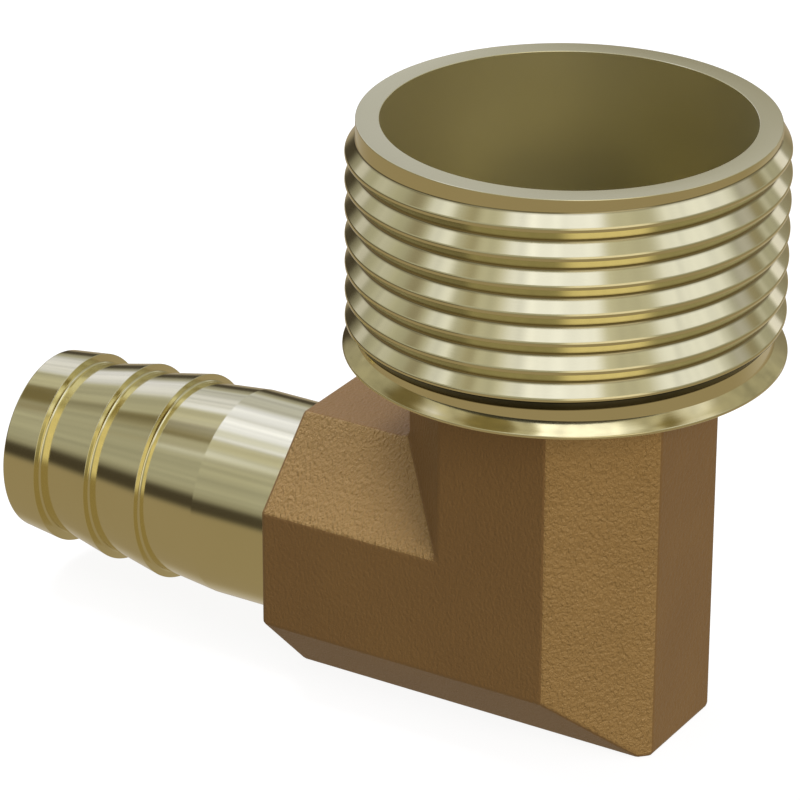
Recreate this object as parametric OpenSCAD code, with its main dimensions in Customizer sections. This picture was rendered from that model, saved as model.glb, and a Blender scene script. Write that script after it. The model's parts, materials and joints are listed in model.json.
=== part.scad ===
// Brass hose barb elbow in one piece: a forged octagonal body with a turned male thread and hose tail.
// The origin is on the flat base, under the thread's axis. The thread points up, the hose tail to -X.

/* [Forged body] */
// Width of the octagonal body across its flats
body_w = 21.8; // [19.4:0.1:24]
// Height of the block's top face above the base
block_h = 21.7; // [19:0.1:25]
// Chamfer on the column's corners and along the top of the block
body_chamfer = 6.3; // [5:0.1:7]
// Chamfer along the bottom of the block
foot_chamfer = 5.8; // [4:0.1:7]
// From the thread's axis to the end of the block that carries the hose tail
block_reach = 20.6; // [17:0.1:30]
// Radius on the forged edges
edge_r = 0.4; // [0.2:0.1:1]
// Height of the hose tail's axis above the base
tail_z = 10.5; // [9.5:0.1:12]

/* [Threaded end] */
// Height of the flange's underside above the base
head_z = 30.4; // [26:0.1:40]
// Height of the rim above the base
rim_z = 48.7; // [44:0.1:60]
// Outside diameter of the thread
thread_d = 33.2; // [32.8:0.1:34]
// Diameter at the thread's root, at the rim and in the relief under the thread
root_d = 31.6; // [31.2:0.1:32.2]
// Threads per inch
threads_per_inch = 11.5; // [10:0.5:14]
// Width of the flat on the thread's crest
crest_flat = 0.28; // [0.1:0.01:0.4]
// Width of the flat at the thread's root
root_flat = 0.1; // [0.05:0.01:0.3]
// From the rim down to the crest where the thread starts
thread_lead_in = 1.2; // [1.2:0.1:3]
// From the flange's underside up to the crest where the thread runs out
thread_run_out = 1.9; // [1.8:0.1:4]
// Where the thread runs out, in degrees from +X towards +Y
run_out_angle = 120; // [0:5:355]
// Diameter of the flange under the thread
flange_d = 33.6; // [33:0.1:36]
// Thickness of the flange's edge
flange_t = 0.35; // [0.3:0.05:1]
// Radius on the flange's lower edge
flange_edge_r = 0.2; // [0.05:0.05:0.3]
// Radius of the fillet between the relief and the flange
flange_fillet_r = 0.7; // [0.3:0.1:0.9]

/* [Hose tail] */
// From the thread's axis to the tip of the hose tail
tail_reach = 47.75; // [46:0.05:60]
// Diameter of the tip
tip_d = 14.9; // [14.3:0.1:15.6]
// From the tip to the first barb's edge
first_barb = 3.4; // [2:0.1:6]
// Number of barbs
barb_count = 3; // [1:1:3]
// Distance between two barbs' edges
barb_pitch = 5.1; // [4:0.1:5.5]
// Diameter of the first barb
barb_d = 15.75; // [15.6:0.05:16]
// How much larger each next barb is
barb_d_rise = 0.62; // [0.3:0.02:0.7]
// Diameter behind the first barb
groove_d = 14.1; // [13.9:0.05:14.9]
// How much larger the diameter behind each next barb is
groove_d_rise = 0.8; // [0.4:0.05:0.9]
// Radius in the corner behind each barb
groove_r = 0.2; // [0.1:0.05:0.3]
// Length of the cone from the last barb to the shank
shank_cone = 5.35; // [3:0.05:8]
// Diameter of the shank
shank_d = 16.85; // [16:0.05:18]

/* [Water way] */
// Bore of the threaded end
head_bore_d = 28; // [24:0.1:29]
// Thickness of the floor under the threaded end's bore
head_floor = 2.4; // [1.5:0.1:5]
// Bore down through the column
column_bore_d = 13; // [11:0.1:14]
// How far the column's drill goes past the hose tail's axis
column_drill_past = 2.5; // [1:0.1:4]
// Bore of the hose tail
tail_bore_d = 11.5; // [9:0.1:12]
// How far the hose tail's drill goes past the thread's axis
tail_drill_past = 1.5; // [1:0.1:3]
// Angle of the drill's point
drill_angle = 118; // [90:1:140]

/* [Hidden] */
// Facets on a full circle
$fn = 96;
INCH = 25.4;
// How far a cut passes the surface that it opens
CUT = 1;
// How far a turned end is sunk into the forging that it is part of
SUNK = 1;
// Rings on one turn of the thread
THREAD_RINGS = 48;
RING_ANGLE = 360 / THREAD_RINGS;
// How far the thread's core stands over the relief
CORE_STEP = 0.02;
// Angle over which the ridge rises to its full height at each end
FADE_ANGLE = 55;
// Straight pieces in a rounded corner, and in one with a radius under SMALL_R
CORNER_STEPS = 4;
SMALL_CORNER_STEPS = 2;
SMALL_R = 0.3;

half_w = body_w / 2;
pitch = INCH / threads_per_inch;
thread_start_z = head_z + thread_run_out;
last_ring = round((rim_z - thread_lead_in - thread_start_z) / pitch * THREAD_RINGS);
relief_z = head_z + flange_t + flange_fillet_r;
core_r = (root_d / 2 + CORE_STEP) / cos(RING_ANGLE / 2);
thread_depth = thread_d / 2 - core_r;
ridge_half_w = (pitch - root_flat) / 2;
flank_slope = (ridge_half_w - crest_flat / 2) / thread_depth;
// How deep the ridge's foot lies in the core, short of where two turns would meet
ridge_sunk = root_flat / 4 / flank_slope;
head_floor_z = head_z + head_floor;
column_bore_depth = head_floor_z - tail_z + column_drill_past;
tail_bore_depth = tail_reach + tail_drill_past;

function unit(v) = v / norm(v);
function turned(v, a) = [v.x * cos(a) - v.y * sin(a), v.x * sin(a) + v.y * cos(a)];

// The corner b between a and c, rounded with the radius r
function corner(a, b, c, r) =
    let(
        u = unit(a - b),
        v = unit(c - b),
        half = acos(u * v) / 2,
        centre = b + unit(u + v) * r / sin(half),
        start = b + u * r / tan(half) - centre,
        side = sign(cross(u, v)),
        sweep = -side * (180 - 2 * half),
        steps = r < SMALL_R ? SMALL_CORNER_STEPS : CORNER_STEPS
    )
    [for (i = [0:steps]) centre + turned(start, sweep * i / steps)];

// An outline of [x, y, radius] points with each corner rounded by its own radius
function rounded(points) =
    let(n = len(points), at = [for (p = points) [p.x, p.y]])
    [for (i = [0:n - 1])
        each points[i].z == 0 ? [at[i]] : corner(at[(i + n - 1) % n], at[i], at[(i + 1) % n], points[i].z)];

// An outline with every corner rounded by the same radius
function forged_outline(points) = rounded([for (p = points) [p.x, p.y, edge_r]]);

// Stands an XY outline's extrusion along X, with the outline's x along Y and its y along Z
module along_x(from, to) {
    translate([from, 0, 0]) rotate([90, 0, 90]) linear_extrude(to - from) children();
}

// Stands an XY outline's extrusion along Y, with the outline's y along Z
module along_y(half_length) {
    rotate([90, 0, 0]) linear_extrude(2 * half_length, center = true) children();
}

// Turns a profile of [radius, height] about the hose tail's axis, with the height towards the tip
module about_tail() {
    translate([0, 0, tail_z]) rotate([0, -90, 0]) rotate_extrude() children();
}

// The column seen from above
module column_plan() {
    a = half_w - body_chamfer;
    polygon(forged_outline([
        [half_w, -a], [half_w, a], [a, half_w], [-a, half_w],
        [-half_w, a], [-half_w, -a], [-a, -half_w], [a, -half_w]
    ]));
}

// The block seen from above, with the column's chamfers at its far end
module block_plan() {
    a = half_w - body_chamfer;
    polygon(forged_outline([
        [half_w, -a], [half_w, a], [a, half_w], [-block_reach, half_w], [-block_reach, -half_w], [a, -half_w]
    ]));
}

// The block seen along the hose tail
module block_section() {
    a = half_w - body_chamfer;
    b = half_w - foot_chamfer;
    polygon(forged_outline([
        [b, 0], [half_w, foot_chamfer], [half_w, block_h - body_chamfer], [a, block_h],
        [-a, block_h], [-half_w, block_h - body_chamfer], [-half_w, foot_chamfer], [-b, 0]
    ]));
}

// The column seen along the hose tail, with the block's lower chamfers
module column_section() {
    b = half_w - foot_chamfer;
    polygon(forged_outline([
        [b, 0], [half_w, foot_chamfer], [half_w, head_floor_z], [-half_w, head_floor_z],
        [-half_w, foot_chamfer], [-b, 0]
    ]));
}

// The whole forging seen from its front
module side_outline() {
    top = head_z + SUNK;
    polygon(rounded([
        [-block_reach, 0, edge_r], [half_w, 0, edge_r], [half_w, top, 0],
        [-half_w, top, 0], [-half_w, block_h, edge_r], [-block_reach, block_h, edge_r]
    ]));
}

module forged_body() {
    intersection() {
        along_y(half_w + CUT) side_outline();
        union() {
            intersection() {
                along_x(-block_reach - CUT, half_w + CUT) block_section();
                linear_extrude(block_h) block_plan();
            }
            intersection() {
                along_x(-half_w - CUT, half_w + CUT) column_section();
                linear_extrude(head_floor_z) column_plan();
            }
        }
    }
}

// The threaded end below its thread: flange, fillet and relief
module head_blank() {
    flange_top = head_z + flange_t;
    rotate_extrude() polygon(rounded([
        [0, head_z, 0], [flange_d / 2, head_z, flange_edge_r], [flange_d / 2, flange_top, 0],
        [root_d / 2, flange_top, flange_fillet_r], [root_d / 2, relief_z, 0], [0, relief_z, 0]
    ]));
}

// The core that the thread climbs, up to the rim, with a corner at each ring of the ridge
module thread_core() {
    translate([0, 0, relief_z]) linear_extrude(rim_z - relief_z) polygon([
        for (i = [0:THREAD_RINGS - 1]) core_r * turned([1, 0], run_out_angle + i * RING_ANGLE)
    ]);
}

// How much of its height the ridge has at an angle along the thread
function ridge_rise(angle) = min(1, angle / FADE_ANGLE, (last_ring * RING_ANGLE - angle) / FADE_ANGLE);

// Half the ridge's width at a height over the core
function half_width(height) = ridge_half_w - height * flank_slope;

// The ridge's section at an angle along the thread, as points in space
function ridge_ring(angle) =
    let(
        crest = ridge_rise(angle) * (thread_depth + ridge_sunk / 2) - ridge_sunk / 2,
        crest_r = core_r + crest,
        foot_r = core_r - ridge_sunk,
        section = [
            [foot_r, -half_width(-ridge_sunk)], [crest_r, -half_width(crest)],
            [crest_r, half_width(crest)], [foot_r, half_width(-ridge_sunk)]
        ],
        z = thread_start_z + pitch * angle / 360
    )
    [for (p = section) [each p.x * turned([1, 0], run_out_angle + angle), z + p.y]];

// The right-hand thread as one ridge that climbs the core
module thread_ridge() {
    sides = 4;
    rings = [for (i = [0:last_ring]) each ridge_ring(i * RING_ANGLE)];
    walls = [
        for (i = [0:last_ring - 1], k = [0:sides - 1])
            let(a = i * sides, b = a + sides, next = (k + 1) % sides)
            each [[a + k, b + next, b + k], [a + k, a + next, b + next]]
    ];
    first_cap = [for (k = [sides - 1:-1:0]) k];
    last_cap = [for (k = [0:sides - 1]) last_ring * sides + k];
    polyhedron(rings, concat([first_cap, last_cap], walls), convexity = 10);
}

// The hose tail's outline from the tip to the block, as [distance from the tip, radius, corner radius]
function tail_outline() =
    let(
        edge = [for (i = [0:barb_count - 1]) first_barb + i * barb_pitch],
        shank_start = edge[barb_count - 1] + shank_cone,
        tail_end = tail_reach - block_reach + SUNK
    )
    concat(
        [[0, 0, 0], [0, tip_d / 2, 0]],
        [for (i = [0:barb_count - 1])
            each [[edge[i], (barb_d + i * barb_d_rise) / 2, 0],
                  [edge[i], (groove_d + i * groove_d_rise) / 2, groove_r]]],
        [[shank_start, shank_d / 2, 0], [tail_end, shank_d / 2, 0], [tail_end, 0, 0]]
    );

module hose_tail() {
    about_tail() polygon(rounded([for (p = tail_outline()) [p.y, tail_reach - p.x, p.z]]));
}

// A drilled hole from z = 0 down, turned from the drill's outline with its point below the depth
module drilled(d, depth) {
    point = d / 2 / tan(drill_angle / 2);
    rotate_extrude() polygon([[0, -depth - point], [d / 2, -depth], [d / 2, CUT], [0, CUT]]);
}

module water_way() {
    translate([0, 0, head_floor_z]) cylinder(d = head_bore_d, h = rim_z - head_floor_z + CUT);
    translate([0, 0, head_floor_z]) drilled(column_bore_d, column_bore_depth);
    translate([-tail_reach, 0, tail_z]) rotate([0, -90, 0]) drilled(tail_bore_d, tail_bore_depth);
}

module elbow() {
    color("#a8884c") difference() {
        union() {
            forged_body();
            head_blank();
            thread_core();
            thread_ridge();
            hose_tail();
        }
        water_way();
    }
}

elbow();
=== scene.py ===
import json
import math

import bmesh
import bpy
from mathutils import Matrix, Vector

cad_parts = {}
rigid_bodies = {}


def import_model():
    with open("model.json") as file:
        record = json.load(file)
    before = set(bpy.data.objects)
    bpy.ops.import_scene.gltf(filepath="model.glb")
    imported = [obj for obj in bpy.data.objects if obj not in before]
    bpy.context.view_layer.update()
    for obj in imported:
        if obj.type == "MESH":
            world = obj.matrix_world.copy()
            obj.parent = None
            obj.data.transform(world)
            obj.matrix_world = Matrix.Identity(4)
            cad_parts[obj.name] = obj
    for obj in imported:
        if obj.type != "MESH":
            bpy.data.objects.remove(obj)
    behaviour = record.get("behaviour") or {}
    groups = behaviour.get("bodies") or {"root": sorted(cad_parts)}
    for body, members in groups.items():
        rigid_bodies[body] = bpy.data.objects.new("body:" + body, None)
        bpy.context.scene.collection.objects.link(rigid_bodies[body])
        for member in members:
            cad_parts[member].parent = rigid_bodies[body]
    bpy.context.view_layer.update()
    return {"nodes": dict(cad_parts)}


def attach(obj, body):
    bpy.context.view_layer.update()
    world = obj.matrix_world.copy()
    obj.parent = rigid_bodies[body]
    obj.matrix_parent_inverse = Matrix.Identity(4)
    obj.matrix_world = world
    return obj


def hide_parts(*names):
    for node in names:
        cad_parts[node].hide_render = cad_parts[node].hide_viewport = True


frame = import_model()
print("frame loaded:", sorted(frame["nodes"]))

# All sizes are in millimetres, from the flat base under the thread's axis, and angles in degrees.
mm = 0.001
inch = 25.4
fuzz = 1e-6  # points nearer than this, in metres, are one point


def colour(hexValue):
    parts = [int(hexValue[i : i + 2], 16) / 255 for i in (1, 3, 5)]
    linear = [c / 12.92 if c <= 0.04045 else ((c + 0.055) / 1.055) ** 2.4 for c in parts]
    return (*linear, 1.0)


def addNode(tree, kind, **values):
    # a value is for one of the node's settings, for the input i0, i1 and so on, or for the input of that name
    node = tree.nodes.new(kind)
    for name, value in values.items():
        if hasattr(node, name):
            setattr(node, name, value)
            continue
        isNumbered = name[0] == "i" and name[1:].isdigit()
        key = int(name[1:]) if isNumbered else name.replace("_", " ")
        if isinstance(value, bpy.types.Node):
            value = value.outputs[0]
        if isinstance(value, bpy.types.NodeSocket):
            tree.links.new(value, node.inputs[key])
        else:
            node.inputs[key].default_value = value
    return node


def newObject(name, mesh):
    piece = bpy.data.objects.new(name, mesh)
    bpy.context.scene.collection.objects.link(piece)
    return piece


def meshFrom(bm, name):
    mesh = bpy.data.meshes.new(name)
    bm.to_mesh(mesh)
    bm.free()
    return newObject(name, mesh)


def settled(piece):
    # turns a piece with live modifiers into a plain mesh
    graph = bpy.context.evaluated_depsgraph_get()
    mesh = bpy.data.meshes.new_from_object(piece.evaluated_get(graph))
    piece.modifiers.clear()
    old = piece.data
    piece.data = mesh
    bpy.data.meshes.remove(old)
    mesh.name = piece.name
    return piece


def combined(piece, other, operation):
    modifier = piece.modifiers.new(operation.lower(), "BOOLEAN")
    modifier.object = other
    modifier.operation = operation
    modifier.solver = "MANIFOLD"
    settled(piece)
    bpy.data.objects.remove(other)
    return piece


def openEdges(bm):
    return sum(1 for e in bm.edges if len(e.link_faces) != 2)


def arc(centre, radius, fromAngle, toAngle, steps):
    # points of a fillet
    points = []
    for i in range(steps + 1):
        a = math.radians(fromAngle + (toAngle - fromAngle) * i / steps)
        points.append((centre[0] + radius * math.cos(a), centre[1] + radius * math.sin(a)))
    return points


def arcBetween(start, end, turn, steps):
    # points of an arc from start to end that turns by so many degrees, its centre on the right of its chord
    middle = Vector(start).lerp(end, 0.5)
    chord = Vector(end) - Vector(start)
    half = math.radians(turn / 2)
    radius = chord.length / 2 / math.sin(half)
    side = Vector((chord.y, -chord.x)).normalized()
    centre = middle + side * radius * math.cos(half)
    toMiddle = math.degrees(math.atan2(-side.y, -side.x))
    return arc(centre, radius, toMiddle + turn / 2, toMiddle - turn / 2, steps)


def turnProfile(bm, profile, steps):
    # turns (radius, height) points about Z, one ring of points for each, with a single point on the axis
    rings = []
    for r, z in profile:
        if r == 0:
            rings.append([bm.verts.new((0, 0, z * mm))])
            continue
        ring = []
        for i in range(steps):
            a = 2 * math.pi * i / steps
            ring.append(bm.verts.new((r * mm * math.cos(a), r * mm * math.sin(a), z * mm)))
        rings.append(ring)
    for low, high in zip(rings, rings[1:]):
        for i in range(steps):
            j = (i + 1) % steps
            corners = [low[i % len(low)], low[j % len(low)], high[j % len(high)], high[i % len(high)]]
            bm.faces.new(list(dict.fromkeys(corners)))


def newTree(name, sizes, counts):
    # an empty geometry node tree, with its sizes, its counts and its material as named inputs
    tree = bpy.data.node_groups.new(name, "GeometryNodeTree")
    for label in sizes:
        tree.interface.new_socket(label, in_out="INPUT", socket_type="NodeSocketFloat")
    for label in counts:
        tree.interface.new_socket(label, in_out="INPUT", socket_type="NodeSocketInt")
    tree.interface.new_socket("Material", in_out="INPUT", socket_type="NodeSocketMaterial")
    tree.interface.new_socket("Geometry", in_out="OUTPUT", socket_type="NodeSocketGeometry")
    return tree, tree.nodes.new("NodeGroupInput").outputs


def gridPlace(tree, rows):
    # the column and the row of each point of a grid, whose points are numbered up one column after another
    index = addNode(tree, "GeometryNodeInputIndex")
    # half a point more keeps the quotient clear of a whole number
    inside = addNode(tree, "ShaderNodeMath", operation="ADD", i0=index, i1=0.5)
    columnsPassed = addNode(tree, "ShaderNodeMath", operation="DIVIDE", i0=inside, i1=rows)
    column = addNode(tree, "ShaderNodeMath", operation="FLOOR", i0=columnsPassed)
    pointsPassed = addNode(tree, "ShaderNodeMath", operation="MULTIPLY", i0=column, i1=rows)
    row = addNode(tree, "ShaderNodeMath", operation="SUBTRACT", i0=index, i1=pointsPassed)
    return column, row


def finishTree(tree, surface, material):
    # closes the seam and the poles, and ends the tree
    joined = addNode(tree, "GeometryNodeMergeByDistance", Geometry=surface, Distance=fuzz)
    real = addNode(tree, "GeometryNodeRealizeInstances", Geometry=joined)
    finished = addNode(tree, "GeometryNodeSetMaterial", Geometry=real, Material=material)
    addNode(tree, "NodeGroupOutput", i0=finished)


def setInputs(modifier, values):
    for item in modifier.node_group.interface.items_tree:
        if item.in_out == "INPUT" and item.name in values:
            modifier[item.identifier] = values[item.name]


# The turned upper end: thread, relief, flange and the cup bored into it.
head = {
    "underside": 30.4,
    "rim": 48.7,
    "threadDiameter": 33.2,
    "rootDiameter": 31.6,
    "threadsPerInch": 11.5,
    "crestFlat": 0.28,
    "rootFlat": 0.1,
    "crestRadius": 0.28,
    "rootRadius": 0.18,
    "ridgeStart": 32.3,  # height of the crest where the thread runs out, over the relief
    "ridgeTurns": 6.875,
    "startAngle": 120,  # from +X
    "fadeTurns": 0.153,  # over which the ridge rises and falls at its ends
    "flangeDiameter": 33.58,
    "flangeThickness": 0.35,
    "flangeEdgeRadius": 0.12,
    "flareHeight": 0.7,  # over which the flange flares out from the column
    "flareTurn": 4,  # how far the flare's outline bends: it is nearly straight
    "flareDrop": 0.05,  # how far the flare ends under the top of the flange
    "boreDiameter": 28.0,
    "floorThickness": 2.4,
    "floorFillet": 0.4,
    "edgeRadius": 0.06,
    "rootSteps": 2,
    "crestSteps": 3,
    "edgeSteps": 3,
    "filletSteps": 4,
    "stepsPerTurn": 192,
    "spareTurns": 3,  # of the strip, past both ends of the ridge, where it is plain core
}
threadPitch = inch / head["threadsPerInch"]
reliefFoot = head["underside"] + head["flangeThickness"] + head["flareHeight"]


def ridgeProfile(depth):
    # one turn of the thread from root to root, as (distance along the axis, part of the depth)
    pitch = threadPitch
    lean = math.atan2(depth, (pitch - head["rootFlat"] - head["crestFlat"]) / 2)
    crest, root = head["crestRadius"], head["rootRadius"]
    flank = (depth - (crest + root) * (1 - math.cos(lean))) / math.tan(lean)
    crestHalf = pitch / 2 - (crest + root) * math.sin(lean) - flank
    degrees = math.degrees(lean)
    half = arc((-pitch / 2, root), root, -90, -90 + degrees, head["rootSteps"])
    half += arc((-crestHalf, depth - crest), crest, 90 + degrees, 90, head["crestSteps"])
    half += [(-x, y) for x, y in reversed(half)]
    return [(x * mm, y / depth) for x, y in half]


# The thread follows a rule, so its surface is a geometry node tree: one long strip wound up the core.
def threadTree(profile):
    tree, given = newTree(
        "helical thread",
        ("Root Radius", "Depth", "Pitch", "Start Height", "Start Angle", "Turns", "Fade", "Low", "High"),
        ("Steps per Turn", "Turns of Strip"),
    )
    rows = len(profile)
    stepsPerTurn = given["Steps per Turn"]
    columns = addNode(
        tree, "ShaderNodeMath", operation="MULTIPLY_ADD", i0=stepsPerTurn, i1=given["Turns of Strip"], i2=1.0
    )
    grid = addNode(tree, "GeometryNodeMeshGrid", Vertices_X=columns, Vertices_Y=rows)
    column, row = gridPlace(tree, rows)
    turnOfStrip = addNode(tree, "ShaderNodeMath", operation="DIVIDE", i0=column, i1=stepsPerTurn)
    turn = addNode(tree, "ShaderNodeMath", operation="SUBTRACT", i0=turnOfStrip, i1=1.0)

    byRow = []
    for values in zip(*profile):
        switch = addNode(tree, "GeometryNodeIndexSwitch", data_type="FLOAT")
        while len(switch.index_switch_items) < rows:
            switch.index_switch_items.new()
        tree.links.new(row.outputs[0], switch.inputs["Index"])
        for i, value in enumerate(values):
            switch.inputs[i + 1].default_value = value
        byRow.append(switch)
    offset, onCrest = byRow

    # the ridge rises out of the core at its start and sinks back into it at its end
    fromStart = addNode(tree, "ShaderNodeMath", operation="DIVIDE", i0=turn, i1=given["Fade"])
    turnsLeft = addNode(tree, "ShaderNodeMath", operation="SUBTRACT", i0=given["Turns"], i1=turn)
    fromEnd = addNode(tree, "ShaderNodeMath", operation="DIVIDE", i0=turnsLeft, i1=given["Fade"])
    rise = addNode(tree, "ShaderNodeMath", operation="MINIMUM", use_clamp=True, i0=fromStart, i1=fromEnd)
    partOfDepth = addNode(tree, "ShaderNodeMath", operation="MULTIPLY", i0=rise, i1=onCrest)
    ridge = addNode(tree, "ShaderNodeMath", operation="MULTIPLY", i0=partOfDepth, i1=given["Depth"])
    radius = addNode(tree, "ShaderNodeMath", operation="ADD", i0=given["Root Radius"], i1=ridge)

    # the strip climbs by a pitch a turn, held between the relief and the rim
    foot = addNode(tree, "ShaderNodeMath", operation="ADD", i0=given["Start Height"], i1=offset)
    climb = addNode(tree, "ShaderNodeMath", operation="MULTIPLY_ADD", i0=turn, i1=given["Pitch"], i2=foot)
    overRelief = addNode(tree, "ShaderNodeMath", operation="MAXIMUM", i0=climb, i1=given["Low"])
    height = addNode(tree, "ShaderNodeMath", operation="MINIMUM", i0=overRelief, i1=given["High"])

    turnFromZero = addNode(tree, "ShaderNodeMath", operation="ADD", i0=turn, i1=1.0)
    partOfTurn = addNode(tree, "ShaderNodeMath", operation="FRACT", i0=turnFromZero)
    angle = addNode(
        tree, "ShaderNodeMath", operation="MULTIPLY_ADD",
        i0=partOfTurn, i1=2 * math.pi, i2=given["Start Angle"],
    )
    cosine = addNode(tree, "ShaderNodeMath", operation="COSINE", i0=angle)
    sine = addNode(tree, "ShaderNodeMath", operation="SINE", i0=angle)
    x = addNode(tree, "ShaderNodeMath", operation="MULTIPLY", i0=radius, i1=cosine)
    y = addNode(tree, "ShaderNodeMath", operation="MULTIPLY", i0=radius, i1=sine)
    place = addNode(tree, "ShaderNodeCombineXYZ", X=x, Y=y, Z=height)
    wound = addNode(tree, "GeometryNodeSetPosition", Geometry=grid, Position=place)
    finishTree(tree, wound, given["Material"])
    return tree


def makeHead(material):
    root = head["rootDiameter"] / 2
    bore = head["boreDiameter"] / 2
    flange = head["flangeDiameter"] / 2
    underside = head["underside"]
    rim = head["rim"]
    floor = underside + head["floorThickness"]
    depth = head["threadDiameter"] / 2 - root

    strip = newObject("threadStrip", bpy.data.meshes.new("threadStrip"))
    modifier = strip.modifiers.new("thread", "NODES")
    modifier.node_group = threadTree(ridgeProfile(depth))
    setInputs(modifier, {
        "Root Radius": root * mm,
        "Depth": depth * mm,
        "Pitch": threadPitch * mm,
        "Start Height": head["ridgeStart"] * mm,
        "Start Angle": math.radians(head["startAngle"]),
        "Turns": head["ridgeTurns"],
        "Fade": head["fadeTurns"],
        "Low": reliefFoot * mm,
        "High": (rim - head["edgeRadius"]) * mm,
        "Steps per Turn": head["stepsPerTurn"],
        "Turns of Strip": math.ceil(head["ridgeTurns"]) + head["spareTurns"],
        "Material": material,
    })
    settled(strip)

    # the flange's outline: its flat underside, its rounded edge and the flare up to the relief
    steps = head["filletSteps"]
    flangeEdge = head["flangeEdgeRadius"]
    flareEnd = underside + head["flangeThickness"] - head["flareDrop"]
    lean = math.degrees(math.atan2(flange - root, reliefFoot - flareEnd)) + head["flareTurn"] / 2
    below = [(0, underside)]
    below += arc((flange - flangeEdge, underside + flangeEdge), flangeEdge, -90, 0, steps)
    below += arc((flange - flangeEdge, flareEnd - flangeEdge), flangeEdge, 0, lean, steps)
    below += arcBetween(below.pop(), (root, reliefFoot), head["flareTurn"], steps)

    # the rim and the cup's wall and floor
    edge = head["edgeRadius"]
    fillet = head["floorFillet"]
    above = arc((root - edge, rim - edge), edge, 0, 90, head["edgeSteps"])
    above += arc((bore + edge, rim - edge), edge, 90, 180, head["edgeSteps"])
    above += arc((bore - fillet, floor + fillet), fillet, 0, -90, steps)
    above += [(0, floor)]

    bm = bmesh.new()
    bm.from_mesh(strip.data)
    turnProfile(bm, below, head["stepsPerTurn"])
    turnProfile(bm, above, head["stepsPerTurn"])
    bmesh.ops.remove_doubles(bm, verts=bm.verts, dist=fuzz)
    bmesh.ops.dissolve_degenerate(bm, edges=bm.edges, dist=fuzz)
    print("head:", len(bm.faces), "faces,", openEdges(bm), "open edges")
    bpy.data.objects.remove(strip)
    return meshFrom(bm, "turnedHead")


# The forging: an octagonal column with a block to one side, both chamfered along their lower edges.
body = {
    "width": 21.8,
    "blockHeight": 21.7,
    "chamfer": 6.3,
    "footChamfer": 5.8,
    "blockReach": 20.6,
    "sunk": 1.0,  # how far it reaches into the turned ends
    "edgeRadius": 0.6,
    "innerRadius": 0.8,
    "edgeSegments": 4,
    "flatAngle": 1.0,  # faces at less than this to each other become one
}


def cutFromBox(low, high, planes):
    # a box trimmed by planes, each a point and an outward normal
    bm = bmesh.new()
    bmesh.ops.create_cube(bm, size=1)
    for v in bm.verts:
        v.co = Vector(low[k] + (v.co[k] + 0.5) * (high[k] - low[k]) for k in range(3)) * mm
    for point, normal in planes:
        parts = bm.verts[:] + bm.edges[:] + bm.faces[:]
        cut = bmesh.ops.bisect_plane(
            bm, geom=parts, dist=fuzz, plane_co=Vector(point) * mm, plane_no=Vector(normal), clear_outer=True
        )
        rimEdges = [e for e in cut["geom_cut"] if isinstance(e, bmesh.types.BMEdge)]
        if rimEdges:
            bmesh.ops.contextual_create(bm, geom=rimEdges)
    bmesh.ops.recalc_face_normals(bm, faces=bm.faces)
    return bm


def makeBody():
    half = body["width"] / 2
    flat = half - body["chamfer"]
    foot = half - body["footChamfer"]
    blockTop = body["blockHeight"]
    columnTop = head["underside"] + body["sunk"]
    sides = (-1, 1)
    footPlanes = [((0, s * foot, 0), (0, s, -1)) for s in sides]
    nearPlanes = [((half, s * flat, 0), (1, s, 0)) for s in sides]
    farPlanes = [((-half, s * flat, 0), (-1, s, 0)) for s in sides]
    topPlanes = [((0, s * flat, blockTop), (0, s, 1)) for s in sides]
    blockPlanes = footPlanes + nearPlanes + topPlanes
    columnPlanes = footPlanes + nearPlanes + farPlanes
    block = cutFromBox((-body["blockReach"], -half, 0), (half, half, blockTop), blockPlanes)
    column = cutFromBox((-half, -half, 0), (half, half, columnTop), columnPlanes)
    piece = combined(meshFrom(column, "forgedBody"), meshFrom(block, "block"), "UNION")
    bm = bmesh.new()
    bm.from_mesh(piece.data)
    bmesh.ops.remove_doubles(bm, verts=bm.verts, dist=fuzz)
    bmesh.ops.dissolve_limit(bm, angle_limit=math.radians(body["flatAngle"]), verts=bm.verts, edges=bm.edges)
    # a bevel's width is along the faces, so each edge's share of it follows from its radius and its angle
    share = bm.edges.layers.float.new("bevel_weight_edge")
    widest = body["innerRadius"]
    for edge in bm.edges:
        radius = body["edgeRadius"] if edge.is_convex else body["innerRadius"]
        edge[share] = radius / widest * math.tan(edge.calc_face_angle() / 2)
    print("body:", len(bm.faces), "faces before rounding")
    bm.to_mesh(piece.data)
    bm.free()
    rounding = piece.modifiers.new("rounding", "BEVEL")
    rounding.width = widest * mm
    rounding.segments = body["edgeSegments"]
    rounding.limit_method = "WEIGHT"
    return settled(piece)


# The hose tail: barbs, a cone and a shank.
tail = {
    "axisHeight": 10.5,
    "reach": 47.75,
    "tipDiameter": 14.9,
    "firstBarb": 3.4,
    "barbCount": 3,
    "barbPitch": 5.1,
    "barbDiameter": 15.75,
    "barbRise": 0.62,
    "grooveDiameter": 14.1,
    "grooveRise": 0.8,
    "grooveFillet": 0.2,
    "crestRadius": 0.04,
    "tipRadius": 0.2,
    "coneLength": 5.35,
    "shankDiameter": 16.85,
    "filletSteps": 4,
    "steps": 192,
}


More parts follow.
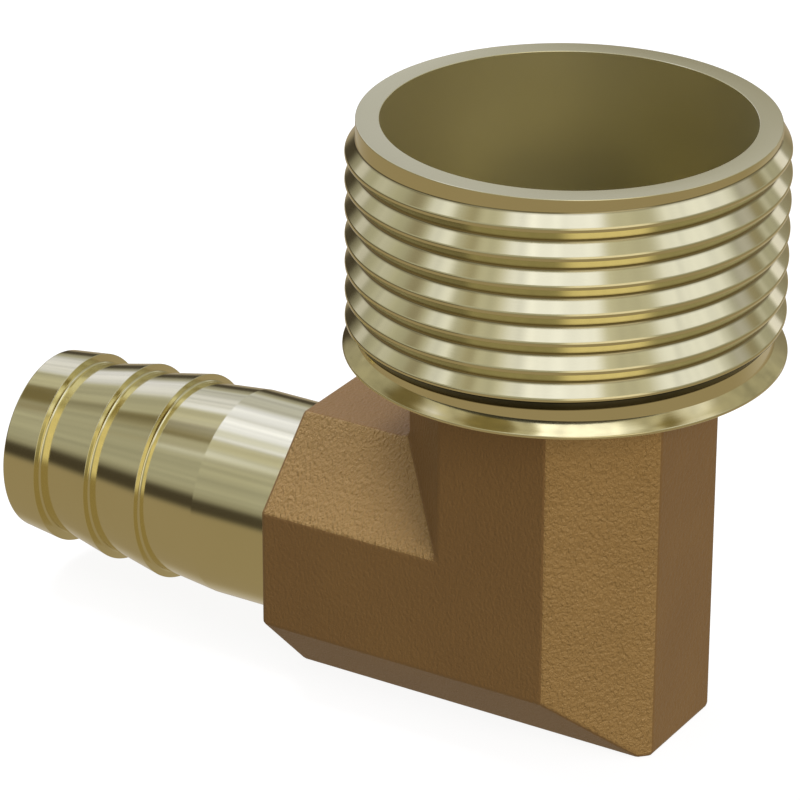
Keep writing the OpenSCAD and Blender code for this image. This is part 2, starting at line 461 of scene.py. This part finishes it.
# Its outline follows a rule too: barb after barb, each a little larger. It is then turned about its axis.
def tailTree():
    tree, given = newTree(
        "barbed tail",
        (
            "Tip Radius", "First Barb", "Barb Pitch", "Barb Radius", "Barb Rise", "Groove Radius",
            "Groove Rise", "Cone Length", "Shank Radius", "Length", "Groove Fillet", "Crest Fillet",
            "Tip Fillet", "Reach", "Axis Height",
        ),
        ("Barbs", "Steps", "Fillet Steps"),
    )
    # The outline's points are two before the first barb, on the axis and at the tip's edge, then two for each
    # barb, its crest and the groove behind it, and three for the shank, at its ends and on the axis. The
    # halves and the tenth below keep the comparisons clear of whole numbers.
    lead = 2
    shankPoints = 3
    index = addNode(tree, "GeometryNodeInputIndex")
    barbPoints = addNode(tree, "ShaderNodeMath", operation="MULTIPLY", i0=given["Barbs"], i1=2.0)
    shank = addNode(tree, "ShaderNodeMath", operation="ADD", i0=barbPoints, i1=lead)
    place = addNode(tree, "ShaderNodeMath", operation="SUBTRACT", i0=index, i1=lead)
    barbPlace = addNode(tree, "ShaderNodeMath", operation="MULTIPLY_ADD", i0=place, i1=0.5, i2=0.1)
    barb = addNode(tree, "ShaderNodeMath", operation="FLOOR", i0=barbPlace)
    ownCrest = addNode(tree, "ShaderNodeMath", operation="MULTIPLY", i0=barb, i1=2.0)
    isGroove = addNode(tree, "ShaderNodeMath", operation="SUBTRACT", i0=place, i1=ownCrest)
    isLead = addNode(tree, "ShaderNodeMath", operation="LESS_THAN", i0=index, i1=lead - 0.5)
    isOnAxis = addNode(tree, "ShaderNodeMath", operation="LESS_THAN", i0=index, i1=0.5)
    pastShank = addNode(tree, "ShaderNodeMath", operation="SUBTRACT", i0=index, i1=shank)
    isPastBarbs = addNode(tree, "ShaderNodeMath", operation="GREATER_THAN", i0=pastShank, i1=-0.5)
    isPastCone = addNode(tree, "ShaderNodeMath", operation="GREATER_THAN", i0=pastShank, i1=0.5)
    isLast = addNode(tree, "ShaderNodeMath", operation="GREATER_THAN", i0=pastShank, i1=1.5)

    pitch = given["Barb Pitch"]
    first = given["First Barb"]
    spaces = addNode(tree, "ShaderNodeMath", operation="SUBTRACT", i0=given["Barbs"], i1=1.0)
    barbAlong = addNode(tree, "ShaderNodeMath", operation="MULTIPLY_ADD", i0=barb, i1=pitch, i2=first)
    lastBarb = addNode(tree, "ShaderNodeMath", operation="MULTIPLY_ADD", i0=spaces, i1=pitch, i2=first)
    coneEnd = addNode(tree, "ShaderNodeMath", operation="ADD", i0=lastBarb, i1=given["Cone Length"])
    crest = addNode(
        tree, "ShaderNodeMath", operation="MULTIPLY_ADD",
        i0=barb, i1=given["Barb Rise"], i2=given["Barb Radius"],
    )
    groove = addNode(
        tree, "ShaderNodeMath", operation="MULTIPLY_ADD",
        i0=barb, i1=given["Groove Rise"], i2=given["Groove Radius"],
    )
    # for each measure of a point, its value at a crest, then the points that have another value
    rules = {
        "along": (barbAlong, (isPastBarbs, coneEnd), (isPastCone, given["Length"]), (isLead, 0.0)),
        "radius": (
            crest, (isGroove, groove), (isPastBarbs, given["Shank Radius"]), (isLead, given["Tip Radius"]),
            (isLast, 0.0), (isOnAxis, 0.0),
        ),
        "fillet": (
            given["Crest Fillet"], (isGroove, given["Groove Fillet"]), (isPastBarbs, 0.0),
            (isLead, given["Tip Fillet"]), (isOnAxis, 0.0),
        ),
    }
    measures = {}
    for name, (measure, *exceptions) in rules.items():
        for holds, value in exceptions:
            measure = addNode(
                tree, "GeometryNodeSwitch", input_type="FLOAT", Switch=holds, i1=measure, i2=value
            )
        measures[name] = measure

    count = addNode(tree, "ShaderNodeMath", operation="ADD", i0=barbPoints, i1=lead + shankPoints)
    line = addNode(tree, "GeometryNodeMeshLine", Count=count)
    point = addNode(tree, "ShaderNodeCombineXYZ", X=measures["radius"], Y=measures["along"])
    outline = addNode(tree, "GeometryNodeSetPosition", Geometry=line, Position=point)
    curve = addNode(tree, "GeometryNodeMeshToCurve", Mesh=outline)
    rounded = addNode(
        tree, "GeometryNodeFilletCurve", mode="POLY", Curve=curve, Count=given["Fillet Steps"],
        Radius=measures["fillet"],
    )
    size = addNode(tree, "GeometryNodeAttributeDomainSize", component="CURVE", Geometry=rounded)
    rows = size.outputs["Point Count"]
    columns = addNode(tree, "ShaderNodeMath", operation="ADD", i0=given["Steps"], i1=1.0)
    grid = addNode(tree, "GeometryNodeMeshGrid", Vertices_X=columns, Vertices_Y=rows)
    column, row = gridPlace(tree, rows)
    position = addNode(tree, "GeometryNodeInputPosition")
    sampled = addNode(
        tree, "GeometryNodeSampleIndex", data_type="FLOAT_VECTOR", domain="POINT",
        Geometry=rounded, Value=position, Index=row,
    )
    onOutline = addNode(tree, "ShaderNodeSeparateXYZ", i0=sampled).outputs
    turn = addNode(tree, "ShaderNodeMath", operation="DIVIDE", i0=column, i1=given["Steps"])
    partOfTurn = addNode(tree, "ShaderNodeMath", operation="FRACT", i0=turn)
    angle = addNode(tree, "ShaderNodeMath", operation="MULTIPLY", i0=partOfTurn, i1=2 * math.pi)
    cosine = addNode(tree, "ShaderNodeMath", operation="COSINE", i0=angle)
    sine = addNode(tree, "ShaderNodeMath", operation="SINE", i0=angle)
    x = addNode(tree, "ShaderNodeMath", operation="SUBTRACT", i0=onOutline["Y"], i1=given["Reach"])
    y = addNode(tree, "ShaderNodeMath", operation="MULTIPLY", i0=onOutline["X"], i1=cosine)
    z = addNode(
        tree, "ShaderNodeMath", operation="MULTIPLY_ADD", i0=onOutline["X"], i1=sine, i2=given["Axis Height"]
    )
    aroundAxis = addNode(tree, "ShaderNodeCombineXYZ", X=x, Y=y, Z=z)
    turned = addNode(tree, "GeometryNodeSetPosition", Geometry=grid, Position=aroundAxis)
    finishTree(tree, turned, given["Material"])
    return tree


def makeTail(material):
    piece = newObject("hoseTail", bpy.data.meshes.new("hoseTail"))
    modifier = piece.modifiers.new("tail", "NODES")
    modifier.node_group = tailTree()
    setInputs(modifier, {
        "Tip Radius": tail["tipDiameter"] / 2 * mm,
        "First Barb": tail["firstBarb"] * mm,
        "Barb Pitch": tail["barbPitch"] * mm,
        "Barb Radius": tail["barbDiameter"] / 2 * mm,
        "Barb Rise": tail["barbRise"] / 2 * mm,
        "Groove Radius": tail["grooveDiameter"] / 2 * mm,
        "Groove Rise": tail["grooveRise"] / 2 * mm,
        "Cone Length": tail["coneLength"] * mm,
        "Shank Radius": tail["shankDiameter"] / 2 * mm,
        "Length": (tail["reach"] - body["blockReach"] + body["sunk"]) * mm,
        "Groove Fillet": tail["grooveFillet"] * mm,
        "Crest Fillet": tail["crestRadius"] * mm,
        "Tip Fillet": tail["tipRadius"] * mm,
        "Reach": tail["reach"] * mm,
        "Axis Height": tail["axisHeight"] * mm,
        "Barbs": tail["barbCount"],
        "Steps": tail["steps"],
        "Fillet Steps": tail["filletSteps"],
        "Material": material,
    })
    settled(piece)
    bm = bmesh.new()
    bm.from_mesh(piece.data)
    bmesh.ops.recalc_face_normals(bm, faces=bm.faces)
    print("tail:", len(bm.faces), "faces,", openEdges(bm), "open edges")
    bm.to_mesh(piece.data)
    bm.free()
    return piece


# The two drillings that join the cup to the mouth of the tail.
waterWay = {
    "columnDiameter": 13.0,
    "columnPast": 2.5,  # how far the column's drill passes the tail's axis
    "tailDiameter": 11.5,
    "tailPast": 1.5,  # how far the tail's drill passes the thread's axis
    "pointAngle": 118,
    "overrun": 1.0,
    "steps": 128,
}


def makeDrill(name, diameter, length, turn, foot):
    # a drill's cylinder and point, its mouth at foot, going the way that turn takes +Z
    radius = diameter / 2
    point = radius / math.tan(math.radians(waterWay["pointAngle"] / 2))
    bm = bmesh.new()
    turnProfile(bm, [(0, 0), (radius, 0), (radius, length), (0, length + point)], waterWay["steps"])
    bmesh.ops.transform(bm, matrix=Matrix.Translation(Vector(foot) * mm) @ turn.to_4x4(), verts=bm.verts)
    bmesh.ops.recalc_face_normals(bm, faces=bm.faces)
    return meshFrom(bm, name)


def makeDrills():
    over = waterWay["overrun"]
    cupFloor = head["underside"] + head["floorThickness"]
    columnDepth = cupFloor - tail["axisHeight"] + waterWay["columnPast"] + over
    columnMouth = (0, 0, cupFloor + over)
    tailDepth = tail["reach"] + waterWay["tailPast"] + over
    tailMouth = (-tail["reach"] - over, 0, tail["axisHeight"])
    down = Matrix.Rotation(math.pi, 3, "X")
    inwards = Matrix.Rotation(math.pi / 2, 3, "Y")
    return [
        makeDrill("columnDrill", waterWay["columnDiameter"], columnDepth, down, columnMouth),
        makeDrill("tailDrill", waterWay["tailDiameter"], tailDepth, inwards, tailMouth),
    ]


# Where one finish ends and the next begins, and which edges stay crisp.
borders = {
    "slack": 0.02,  # how far the middle of a face may lie from the surface that it belongs to
    "underCrest": 0.1,  # the painted shade of the recess stops this far under the crest of the last turn
    "belowDrill": 3.0,  # a height that the column's drill doesn't reach
    "chamferLean": 22.5,  # halfway between a flat face and a chamfer
    "crispAngle": 32,
    "creaseSlack": 0.01,
    # the least part of a face's normal that counts as facing upwards, sloping, or square to an axis
    "upwards": 0.5,
    "sloping": 0.1,
    "square": 0.95,
}


def headRegion(centre, normal):
    # which finish a face of the threaded end has
    x, y, z = centre
    slack = borders["slack"]
    fromAxis = math.hypot(x, y)
    if fromAxis < head["boreDiameter"] / 2 + slack and z < head["rim"] - 2 * head["edgeRadius"]:
        return "bored"
    root = head["rootDiameter"] / 2
    # the flange's top and flare get the darker, golden copy of the turned brass: painted reflection
    if z < reliefFoot - slack and normal.z > borders["upwards"] and fromAxis > root:
        return "flange"
    # the recess under the last turn gets the near-black copy of the turned brass: painted shade
    turn = (math.degrees(math.atan2(y, x)) - head["startAngle"]) % 360 / 360
    overCrest = z - head["ridgeStart"] - turn * threadPitch
    faded = head["fadeTurns"] / 2
    isUnderTurn = -threadPitch / 2 < overCrest < -borders["underCrest"]
    if turn > faded and isUnderTurn and fromAxis > root + slack:
        return "recess"
    along = turn + round(overCrest / threadPitch)
    isFull = 2 * faded < along < head["ridgeTurns"] - 2 * faded
    isTurned = z < head["rim"] - head["edgeRadius"] and fromAxis > root - slack
    isSloped = fromAxis > root + slack or abs(normal.z) > borders["sloping"]
    return "thread" if isTurned and isFull and isSloped else "head"


def bodyRegion(centre, normal):
    # which finish a face below the threaded end has
    x, y, z = centre
    slack = borders["slack"]
    fromColumn = math.hypot(x, y)
    fromTail = math.hypot(y, z - tail["axisHeight"])
    if normal.x < -borders["square"] and abs(x + body["blockReach"]) < slack:
        return "tail"
    if fromColumn < waterWay["columnDiameter"] / 2 + slack and z > borders["belowDrill"]:
        return "drilled"
    if fromTail < waterWay["tailDiameter"] / 2 + slack and x < waterWay["columnDiameter"] / 2:
        return "drilled" if x > -tail["reach"] + slack else "tail"
    if x < -body["blockReach"] - slack:
        return "tail"
    # chamfers that face up or away from the tail get the lighter copy: painted light; those that face the
    # tail or downwards keep the darker one: painted shade
    lean = math.sin(math.radians(borders["chamferLean"]))
    leans = sorted(abs(n) for n in normal)[1] > lean
    return "chamfer" if leans and normal.z > -lean and normal.x > -lean else "forged"


def makeElbow(materials):
    piece = combined(makeBody(), makeHead(materials["head"]), "UNION")
    piece = combined(piece, makeTail(materials["tail"]), "UNION")
    for drill in makeDrills():
        piece = combined(piece, drill, "DIFFERENCE")
    piece.name = "brassElbow"
    mesh = piece.data
    mesh.name = "brassElbow"
    mesh.materials.clear()
    regions = list(materials)
    for name in regions:
        mesh.materials.append(materials[name])
    headFoot = head["underside"] - borders["slack"]
    for face in mesh.polygons:
        centre = face.center / mm
        regionOf = headRegion if centre.z > headFoot else bodyRegion
        face.material_index = regions.index(regionOf(centre, face.normal))
        face.use_smooth = True
    mesh.set_sharp_from_angle(angle=math.radians(borders["crispAngle"]))
    # the cone meets the shank at a low angle, but in a crisp line
    lastBarb = tail["firstBarb"] + (tail["barbCount"] - 1) * tail["barbPitch"]
    crease = lastBarb + tail["coneLength"] - tail["reach"]
    for edge in mesh.edges:
        along = [mesh.vertices[i].co.x / mm for i in edge.vertices]
        if all(abs(x - crease) < borders["creaseSlack"] for x in along):
            edge.use_edge_sharp = True
    weights = piece.modifiers.new("weighted normals", "WEIGHTED_NORMAL")
    weights.keep_sharp = True
    weights.mode = "FACE_AREA_WITH_ANGLE"
    settled(piece)
    bm = bmesh.new()
    bm.from_mesh(piece.data)
    volume = round(bm.calc_volume() / mm**3, 1)
    print("elbow:", len(bm.faces), "faces,", openEdges(bm), "open edges,", volume, "mm3")
    bm.free()
    return piece


# Turned brass, as it leaves the lathe: a clear warm mirror, slightly broken up by the tool's fine rings.
turnedBrass = {
    "colour": "#f0e7ba",
    "dull": "#e8dfae",
    "metallic": 1.0,
    "roughness": 0.12,
    "ringWidth": 0.12,  # real feed marks are about 0.05 mm and wouldn't show
    "ringDepth": 0.0006,
    "tarnishScale": 120.0,  # per metre: clouds of about 8 mm
    # painted shade in the thread's roots: its colour, how dark it gets at the root, and how high it reaches
    "rootShadeColour": "#5a4722",
    "rootShadeStrength": 0.6,
    "rootShadeHeight": 0.12,  # over the root: how high the painted shade of the roots reaches
}

# The bores are rougher: a khaki sheen without clear mirror images.
boredBrass = dict(turnedBrass, colour="#d2caa0", dull="#cbc294", metallic=0.84, roughness=0.3)

# Painted shade: the recess under the last turn of the thread gets a near-black copy of the turned brass,
# which makes a dark line there.
recessPaintedShade = dict(turnedBrass, recessShade="#1a1206", recessShadeDull="#140d04", roughness=0.3)

# Painted reflection: the flange gets a darker, more golden copy of the turned brass, for the golden
# inter-reflection that its flare shows.
flangePaintedReflection = dict(turnedBrass, colour="#e8dba4", dull="#dfd098", roughness=0.1)


def turnedBrassMaterial(name, alongAxis, centre, finish=turnedBrass, rootRadius=None):
    material = bpy.data.materials.new(name)
    material.use_nodes = True
    tree = material.node_tree
    tree.nodes.clear()
    place = addNode(tree, "ShaderNodeTexCoord").outputs["Object"]
    centred = addNode(tree, "ShaderNodeMapping", Vector=place, Location=[-c * mm for c in centre])
    xyz = addNode(tree, "ShaderNodeSeparateXYZ", i0=centred).outputs
    across = [xyz[k] for k in "XYZ" if k != alongAxis]
    flat = addNode(tree, "ShaderNodeCombineXYZ", X=across[0], Y=across[1])
    radius = addNode(tree, "ShaderNodeVectorMath", operation="LENGTH", i0=flat).outputs["Value"]
    ringPlace = addNode(tree, "ShaderNodeCombineXYZ", X=radius, Y=xyz[alongAxis])
    rings = addNode(
        tree, "ShaderNodeTexNoise", Vector=ringPlace, Scale=1 / (finish["ringWidth"] * mm), Detail=2.0
    )
    tarnish = addNode(tree, "ShaderNodeTexNoise", Vector=place, Scale=finish["tarnishScale"], Detail=3.0)
    mix = addNode(
        tree, "ShaderNodeMix", data_type="RGBA", i0=tarnish,
        i6=colour(finish["colour"]), i7=colour(finish["dull"]),
    ).outputs[2]
    if rootRadius:
        # painted shade: darker towards the thread's roots
        nearRoot = addNode(
            tree, "ShaderNodeMapRange", Value=radius, From_Min=rootRadius * mm,
            From_Max=(rootRadius + finish["rootShadeHeight"]) * mm, To_Min=finish["rootShadeStrength"], To_Max=0.0,
        )
        mix = addNode(
            tree, "ShaderNodeMix", data_type="RGBA", i0=nearRoot, i6=mix, i7=colour(finish["rootShadeColour"])
        ).outputs[2]
    if "recessShade" in finish:
        # the painted shade of the recess fades out at both ends of the last turn, over the part of it where
        # the ridge rises
        start = math.radians(head["startAngle"])
        outwards = addNode(tree, "ShaderNodeVectorMath", operation="NORMALIZE", i0=flat)
        nearEnds = addNode(
            tree, "ShaderNodeVectorMath", operation="DOT_PRODUCT",
            i0=outwards, i1=(math.cos(start), math.sin(start), 0.0),
        ).outputs["Value"]
        recessShadeAmount = addNode(
            tree, "ShaderNodeMapRange", Value=nearEnds, From_Min=1.0,
            From_Max=math.cos(2 * math.pi * head["fadeTurns"]), To_Min=0.0, To_Max=1.0,
        )
        recessShade = addNode(
            tree, "ShaderNodeMix", data_type="RGBA", i0=tarnish,
            i6=colour(finish["recessShade"]), i7=colour(finish["recessShadeDull"]),
        ).outputs[2]
        mix = addNode(tree, "ShaderNodeMix", data_type="RGBA", i0=recessShadeAmount, i6=mix, i7=recessShade).outputs[2]
    bump = addNode(tree, "ShaderNodeBump", Height=rings, Strength=1.0, Distance=finish["ringDepth"] * mm)
    shader = addNode(
        tree, "ShaderNodeBsdfPrincipled", Base_Color=mix, Metallic=finish["metallic"],
        Roughness=finish["roughness"], Normal=bump,
    )
    addNode(tree, "ShaderNodeOutputMaterial", Surface=shader)
    return material


# Forged brass: a dull bronze skin, smooth where the die's flat faces pressed it. Its colour is the darker of
# two copies, on the flats and on the chamfers that face the tail or downwards: painted shade.
forgedBrass = {
    "colour": "#997747",
    "dark": "#8c6b40",
    "metallic": 0.5,
    "roughness": 0.55,
    "skin": 0.5,  # a thin clear skin that greys it at low angles
    "grain": 0.36,
    "grainDepth": 0.1,
    "grainStretch": (1.6, 1.0, 1.0),
    "cloudScale": 150.0,  # per metre: clouds of about 7 mm
}

# The chamfers are coarser, with wrinkles that catch the light, and lighter: painted light, a lit copy of the
# forging for the light that falls on them.
chamferPaintedLight = dict(forgedBrass, colour="#b7955f", dark="#a68551", roughness=0.42, grainDepth=0.28)


def forgedBrassMaterial(name, finish):
    material = bpy.data.materials.new(name)
    material.use_nodes = True
    tree = material.node_tree
    tree.nodes.clear()
    place = addNode(tree, "ShaderNodeTexCoord").outputs["Object"]
    stretched = addNode(tree, "ShaderNodeMapping", Vector=place, Scale=finish["grainStretch"])
    grain = addNode(
        tree, "ShaderNodeTexNoise", Vector=stretched, Scale=1 / (finish["grain"] * mm),
        Detail=2.0, Roughness=0.6,
    )
    cloud = addNode(tree, "ShaderNodeTexNoise", Vector=place, Scale=finish["cloudScale"], Detail=4.0)
    mix = addNode(
        tree, "ShaderNodeMix", data_type="RGBA", i0=cloud,
        i6=colour(finish["dark"]), i7=colour(finish["colour"]),
    ).outputs[2]
    bump = addNode(tree, "ShaderNodeBump", Height=grain, Strength=1.0, Distance=finish["grainDepth"] * mm)
    shader = addNode(
        tree, "ShaderNodeBsdfPrincipled", Base_Color=mix, Metallic=finish["metallic"],
        Roughness=finish["roughness"], Normal=bump, Coat_Weight=finish["skin"],
        Coat_Roughness=finish["roughness"], Coat_Normal=bump,
    )
    addNode(tree, "ShaderNodeOutputMaterial", Surface=shader)
    return material


# The studio as the bright metal sees it: a room with a brown ground, a dark gap at the horizon, grey walls
# and a pale ceiling, and soft boxes hung in it. Azimuths are from -Y towards +X.
studio = {
    "room": [  # elevation, colour
        (-90, "#9b8e76"), (-10, "#9b8e76"), (-2, "#8a8372"), (14, "#a8a8a2"), (36, "#aeaea8"),
        (50, "#bfbeb8"), (90, "#bfbeb8"),
    ],
    "softBoxes": [  # azimuth, elevation, half width, half height, soft edge, colour, strength
        (-90, 0, 66, 6.5, 3.5, "#453f36", 1.0),  # the dark gap under the walls, to the left
        (-165, -40, 42, 22, 20, "#bdb4a8", 1.0),  # pale ground behind
        (-95, 59, 26, 7, 4, "#ccd2fb", 1.65),  # two over and behind the hose tail
        (-132, 46, 12, 11, 4, "#ccd2fb", 1.55),
        (-140, 28, 10.5, 13, 2, "#bdc0d1", 1.0),  # a row of them behind the hose tail
        (-152, 34, 8, 12, 1.2, "#bdc0d1", 1.05),
        (-160, 15, 9, 6.5, 1.2, "#8f8c86", 1.0),
        (-130, 26, 8, 15, 3, "#d2d6f5", 1.2),
        (-53, 44, 7, 6, 3, "#d8dcf0", 1.2),  # and one in front of it
        (-67, 36, 4, 5, 2.5, "#8f897c", 1.0),  # dark gaps between the boxes
        (-36, 49, 4, 4, 3, "#9a9482", 1.0),
        (145, 25, 4, 4, 2, "#8f8876", 1.0),
        (-45, 67, 23, 7, 3, "#807654", 1.0),  # and those that the flange shows
        (-84, 43, 12, 6, 3, "#766c50", 1.0),
        (124, 60, 12, 5, 3, "#807654", 1.0),
        (-82, 60, 8, 6, 4, "#d8dcf0", 1.1),  # a box between them
        (18, 60, 34, 7, 5, "#dde2ff", 1.4),  # over the camera
        (50, 22, 22, 26, 6, "#e6dfd2", 1.1),  # a tall one to the right of the camera
        (60, 78, 60, 10, 4, "#e2e8ff", 1.7),  # overhead
        (110, 43, 24, 10, 6, "#dbdff4", 1.2),  # to the right
        (138, 30, 5, 4, 2, "#bebecb", 1.0),  # small ones behind, and one beside the tail's tip
        (-104, 14, 4, 4, 2, "#cdcdd8", 1.1),
        (-87, 25, 6, 4, 3, "#c6c7cc", 1.0),
        (152, 20, 2, 2, 1.5, "#c2c2c6", 1.0),
        (166, 10, 4, 4, 1.5, "#e8e8fb", 1.2),
    ],
    "clutter": 0.3,  # how far the room's light goes up and down, as a part of it
    "clutterScale": 14.0,
    "clutterRange": (0.3, 0.7),  # the values of the noise that give the least and the most light
    "clutterFrom": 15.0,  # elevation from which the room is fully uneven; the ground is even
    "floor": "#ffffff",
    "floorShade": "#707070",
    "floorRoughness": 0.9,
    "floorGlow": 0.9,
    "floorSize": 4.0,  # metres
}


def makeWorld():
    world = bpy.data.worlds.new("studio")
    bpy.context.scene.world = world
    world.use_nodes = True
    tree = world.node_tree
    tree.nodes.clear()

    towards = addNode(tree, "ShaderNodeTexCoord").outputs["Generated"]
    xyz = addNode(tree, "ShaderNodeSeparateXYZ", i0=towards).outputs
    ahead = addNode(tree, "ShaderNodeMath", operation="MULTIPLY", i0=xyz["Y"], i1=-1.0)
    around = addNode(tree, "ShaderNodeMath", operation="ARCTAN2", i0=xyz["X"], i1=ahead)
    azimuth = addNode(tree, "ShaderNodeMath", operation="DEGREES", i0=around)
    upwards = addNode(tree, "ShaderNodeMath", operation="ARCSINE", i0=xyz["Z"])
    elevation = addNode(tree, "ShaderNodeMath", operation="DEGREES", i0=upwards)
    # the ramp of the room's colours runs from straight down to straight up
    partUp = addNode(tree, "ShaderNodeMath", operation="MULTIPLY_ADD", i0=elevation, i1=1 / 180, i2=0.5)
    ramp = addNode(tree, "ShaderNodeValToRGB", i0=partUp)
    stops = ramp.color_ramp.elements
    while len(stops) < len(studio["room"]):
        stops.new(0.5)
    for stop, (height, hexColour) in zip(stops, studio["room"]):
        stop.position = height / 180 + 0.5
        stop.color = colour(hexColour)

    light = ramp.outputs[0]
    for boxAzimuth, boxElevation, halfWidth, halfHeight, soft, hexColour, strength in studio["softBoxes"]:
        turned = addNode(tree, "ShaderNodeMath", operation="SUBTRACT", i0=azimuth, i1=boxAzimuth)
        wrapped = addNode(tree, "ShaderNodeMath", operation="WRAP", i0=turned, i1=180.0, i2=-180.0)
        aside = addNode(tree, "ShaderNodeMath", operation="ABSOLUTE", i0=wrapped)
        raised = addNode(tree, "ShaderNodeMath", operation="SUBTRACT", i0=elevation, i1=boxElevation)
        above = addNode(tree, "ShaderNodeMath", operation="ABSOLUTE", i0=raised)
        inWidth, inHeight = [
            addNode(
                tree, "ShaderNodeMapRange", interpolation_type="SMOOTHSTEP",
                Value=distance, From_Min=half + soft, From_Max=half - soft, To_Min=0.0, To_Max=1.0,
            )
            for distance, half in ((aside, halfWidth), (above, halfHeight))
        ]
        inside = addNode(tree, "ShaderNodeMath", operation="MULTIPLY", i0=inWidth, i1=inHeight)
        box = [strength * c for c in colour(hexColour)[:3]] + [1.0]
        light = addNode(tree, "ShaderNodeMix", data_type="RGBA", i0=inside, i6=light, i7=box).outputs[2]

    clutter = addNode(
        tree, "ShaderNodeTexNoise", Vector=towards, Scale=studio["clutterScale"], Detail=3.0, Roughness=0.6
    )
    aboveGround = addNode(
        tree, "ShaderNodeMapRange", Value=elevation, From_Min=0.0, From_Max=studio["clutterFrom"]
    )
    least, most = studio["clutterRange"]
    swing = addNode(
        tree, "ShaderNodeMapRange", Value=clutter, From_Min=least, From_Max=most,
        To_Min=-studio["clutter"], To_Max=studio["clutter"],
    )
    level = addNode(tree, "ShaderNodeMath", operation="MULTIPLY_ADD", i0=swing, i1=aboveGround, i2=1.0)
    room = addNode(tree, "ShaderNodeBackground", Color=light, Strength=level)
    seen = addNode(tree, "ShaderNodeBackground", Color=(1, 1, 1, 1), Strength=1.0)
    isCamera = addNode(tree, "ShaderNodeLightPath").outputs["Is Camera Ray"]
    both = addNode(tree, "ShaderNodeMixShader", i0=isCamera, i1=room, i2=seen)
    addNode(tree, "ShaderNodeOutputWorld", Surface=both)
    print("studio:", len(studio["softBoxes"]), "soft boxes and gaps")


def makeFloor():
    bm = bmesh.new()
    bmesh.ops.create_grid(bm, x_segments=1, y_segments=1, size=studio["floorSize"])
    floor = meshFrom(bm, "paleFloor")
    material = bpy.data.materials.new("pale matt paper")
    material.use_nodes = True
    shader = material.node_tree.nodes["Principled BSDF"]
    shader.inputs["Base Color"].default_value = colour(studio["floorShade"])
    shader.inputs["Roughness"].default_value = studio["floorRoughness"]
    shader.inputs["Specular IOR Level"].default_value = 0.0
    shader.inputs["Emission Color"].default_value = colour(studio["floor"])
    shader.inputs["Emission Strength"].default_value = studio["floorGlow"]
    floor.data.materials.append(material)
    floor.visible_glossy = False
    floor.visible_diffuse = False


def facingFrom(azimuth, elevation):
    # the way to a camera or light at these angles, from -Y towards +X and up, and the turn that faces back
    a, e = math.radians(azimuth), math.radians(elevation)
    way = Vector((math.sin(a) * math.cos(e), -math.cos(a) * math.cos(e), math.sin(e)))
    return way, way.to_track_quat("Z", "Y").to_matrix().to_4x4()


# The camera, as fitted to the photo.
view = {
    "azimuth": 31.277,
    "elevation": 25.165,
    "distance": 337.2,
    "lookAt": (-13.02, -2.462, 23.502),
    "roll": 0.192,
    "lens": 196.76,
    "sensor": 36,
    "clipStart": 10,
}


def makeCamera():
    data = bpy.data.cameras.new("camera")
    data.lens = view["lens"]
    data.sensor_width = view["sensor"]
    data.clip_start = view["clipStart"] * mm
    camera = newObject("camera", data)
    way, aim = facingFrom(view["azimuth"], view["elevation"])
    location = (Vector(view["lookAt"]) + way * view["distance"]) * mm
    roll = Matrix.Rotation(math.radians(view["roll"]), 4, "Z")
    camera.matrix_world = Matrix.Translation(location) @ aim @ roll
    bpy.context.scene.camera = camera


# Two lights for the forging's dull skin. The bright metal doesn't mirror them: it has the soft boxes.
lights = {
    "key for the forging": {
        "azimuth": 67, "elevation": 25, "size": 250, "power": 1.9, "colour": "#fff4e6",
    },
    "fill over the tail": {
        "azimuth": -110, "elevation": 62, "size": 300, "power": 4.2, "colour": "#ffffff",
    },
}
lightDistance = 600
lightAim = (0, 0, 30)


def makeLight(name, settings):
    data = bpy.data.lights.new(name, "AREA")
    data.shape = "RECTANGLE"
    data.size = settings["size"] * mm
    data.size_y = settings["size"] * mm
    data.energy = settings["power"]
    data.color = colour(settings["colour"])[:3]
    light = newObject(name, data)
    way, aim = facingFrom(settings["azimuth"], settings["elevation"])
    light.matrix_world = Matrix.Translation((way * lightDistance + Vector(lightAim)) * mm) @ aim
    light.visible_camera = False
    light.visible_glossy = False


makeCamera()
makeWorld()
makeFloor()

onThread = (0, 0, 0)
onTail = (0, 0, tail["axisHeight"])
root = head["rootDiameter"] / 2
materials = {
    "head": turnedBrassMaterial("bright turned brass, threaded end", "Z", onThread),
    "tail": turnedBrassMaterial("bright turned brass, hose tail", "X", onTail),
    "forged": forgedBrassMaterial("forged brass", forgedBrass),
    "chamfer": forgedBrassMaterial("forged brass, coarse chamfers, painted light", chamferPaintedLight),
    "bored": turnedBrassMaterial("bored brass, threaded end", "Z", onThread, boredBrass),
    "drilled": turnedBrassMaterial("drilled brass", "Z", onThread, boredBrass),
    "recess": turnedBrassMaterial("turned brass, painted shade in the recess", "Z", onThread, recessPaintedShade, root),
    "flange": turnedBrassMaterial("turned brass, flange, painted golden reflection", "Z", onThread, flangePaintedReflection),
    "thread": turnedBrassMaterial("bright turned brass, thread", "Z", onThread, turnedBrass, root),
}
print("finishes:", ", ".join(materials))
for name, settings in lights.items():
    makeLight(name, settings)
elbow = makeElbow(materials)
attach(elbow, "root")
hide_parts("elbow")

scene = bpy.context.scene
scene.view_settings.view_transform = "Standard"
scene.view_settings.look = "None"
